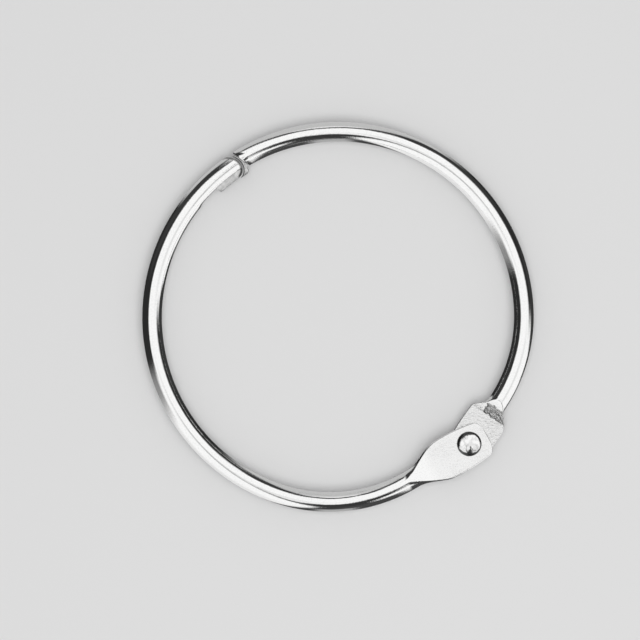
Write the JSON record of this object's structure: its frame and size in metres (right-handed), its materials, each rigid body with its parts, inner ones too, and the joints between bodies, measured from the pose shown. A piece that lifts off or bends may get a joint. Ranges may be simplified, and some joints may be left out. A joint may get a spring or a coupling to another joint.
{
  "type": "binder ring",
  "caption": "Hinged loose-leaf ring of round nickel-plated wire: two half rings turn on a rivet at flattened leaves and meet at a rounded tongue and cup, to hold punched pages.",
  "frame": {"origin": "Middle of the ring's circle, on the surface the ring lies on.", "axes": "+Z is up, across the flat ring. +X is right and +Y is up in the reference view, which looks straight down."},
  "size_m": [0.0556, 0.0554, 0.004],
  "materials": {
    "ring_wire": "polished nickel plate",
    "rivet": "polished nickel plate"
  },
  "bodies": {
    "long_half": {"long_half_ring": "ring_wire", "hinge_rivet": "rivet"},
    "short_half": {"short_half_ring": "ring_wire"}
  },
  "joints": [
    {"name": "ring_hinge", "type": "hinge", "parent": "long_half", "child": "short_half", "pos_m": [0.01859, -0.01789, 0.00199], "axis": [0, 0, -1], "range_deg": [0, 144]}
  ]
}
